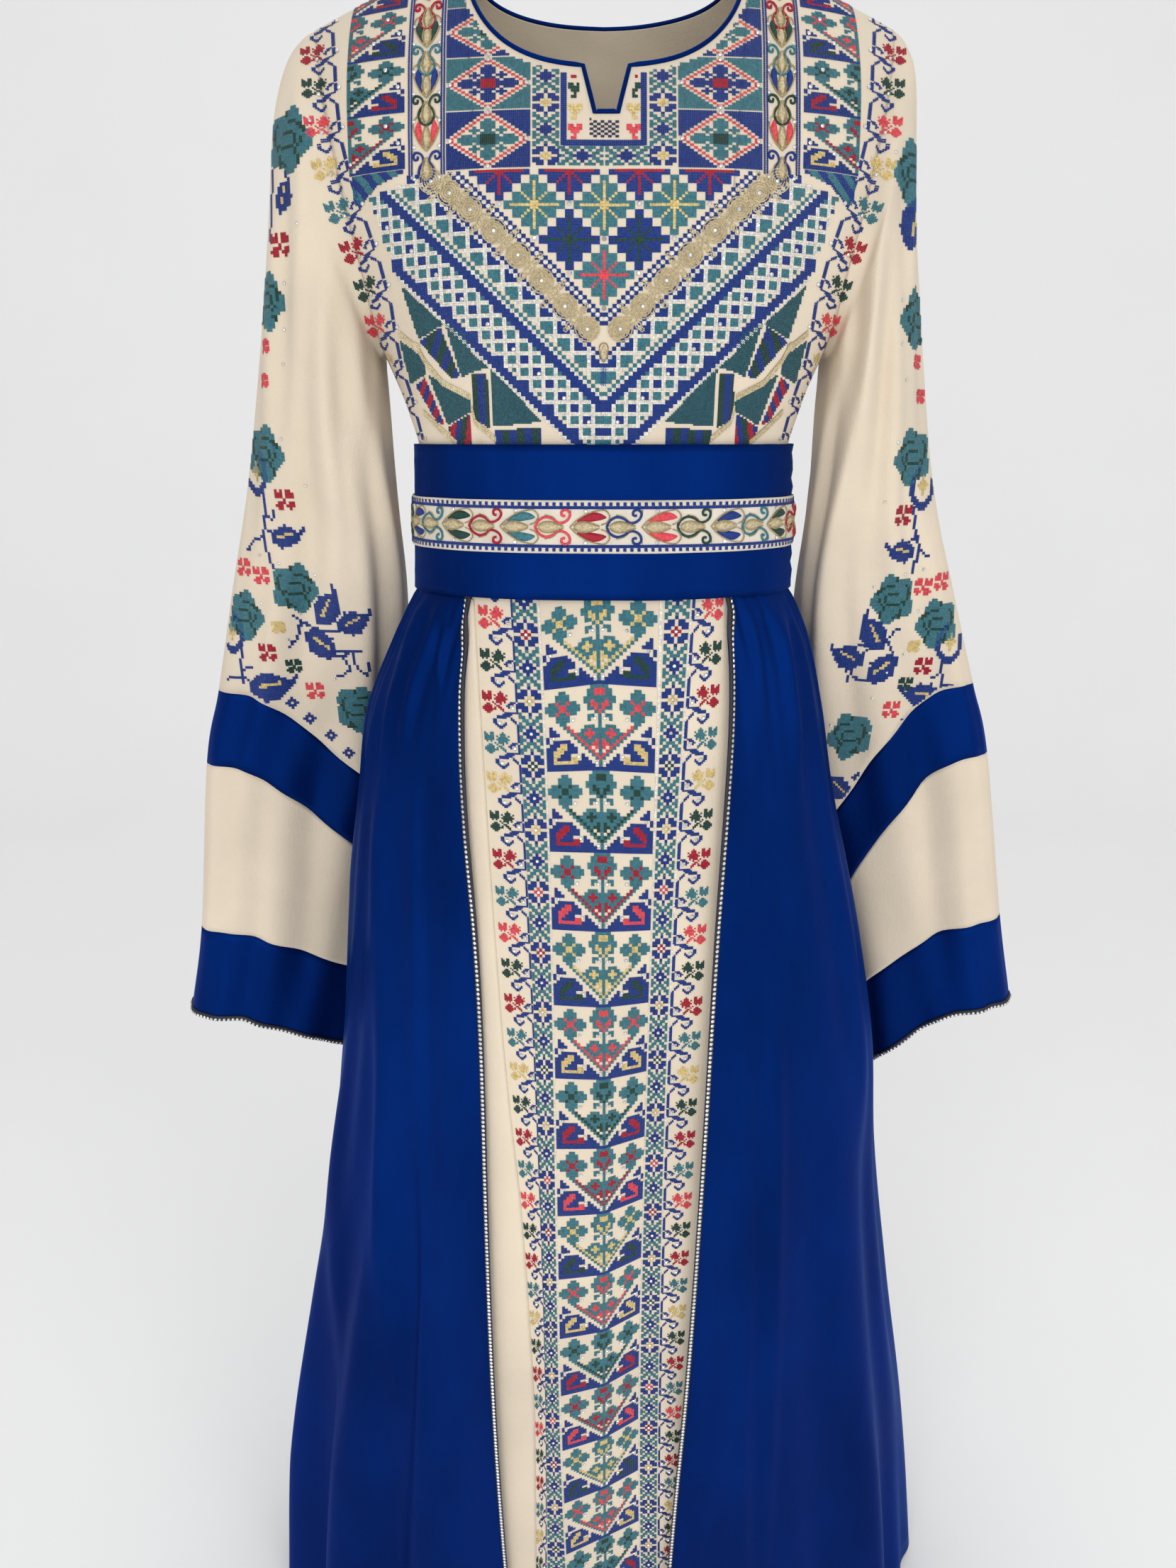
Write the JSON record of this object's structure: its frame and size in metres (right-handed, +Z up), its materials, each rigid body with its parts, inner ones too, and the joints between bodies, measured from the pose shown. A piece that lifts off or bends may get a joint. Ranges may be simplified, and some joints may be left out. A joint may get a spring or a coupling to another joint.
{
  "type": "embroidered thobe dress",
  "caption": "Long ivory dress with a round notched neck, bell sleeves and an open satin overskirt held by a wide sash; cross-stitch covers the front.",
  "frame": {"origin": "midway between the tops of the two shoulders, where the neck's sides meet them", "axes": "+Z up the dress, -Y out of its front, +X towards the side on the right of a viewer who faces it"},
  "size_m": [0.7395, 0.3508, 1.4228],
  "materials": {
    "ivory_crepe": "ivory crepe with cross-stitch",
    "blue_satin": "royal blue satin",
    "woven_ribbon": "ivory ribbon with satin-stitch drops",
    "black_tape": "black tape with clear stones"
  },
  "bodies": {
    "root": {"bodice_front": "ivory_crepe", "bodice_back": "ivory_crepe", "underskirt_front": "ivory_crepe", "underskirt_back": "ivory_crepe", "sleeve_left_shoulder": "ivory_crepe", "sleeve_left_arm": "ivory_crepe", "sleeve_left_elbow": "ivory_crepe", "sleeve_left_panel": "ivory_crepe", "sleeve_left_band": "blue_satin", "sleeve_left_cuff": "blue_satin", "sleeve_left_trim": "black_tape", "overskirt_left_trim": "black_tape", "overskirt_left": "blue_satin", "sleeve_right_shoulder": "ivory_crepe", "sleeve_right_arm": "ivory_crepe", "sleeve_right_elbow": "ivory_crepe", "sleeve_right_panel": "ivory_crepe", "sleeve_right_band": "blue_satin", "sleeve_right_cuff": "blue_satin", "sleeve_right_trim": "black_tape", "overskirt_right_trim": "black_tape", "overskirt_right": "blue_satin", "overskirt_back": "blue_satin", "neck_binding": "blue_satin", "belt": "blue_satin", "belt_ribbon": "woven_ribbon"}
  },
  "joints": []
}
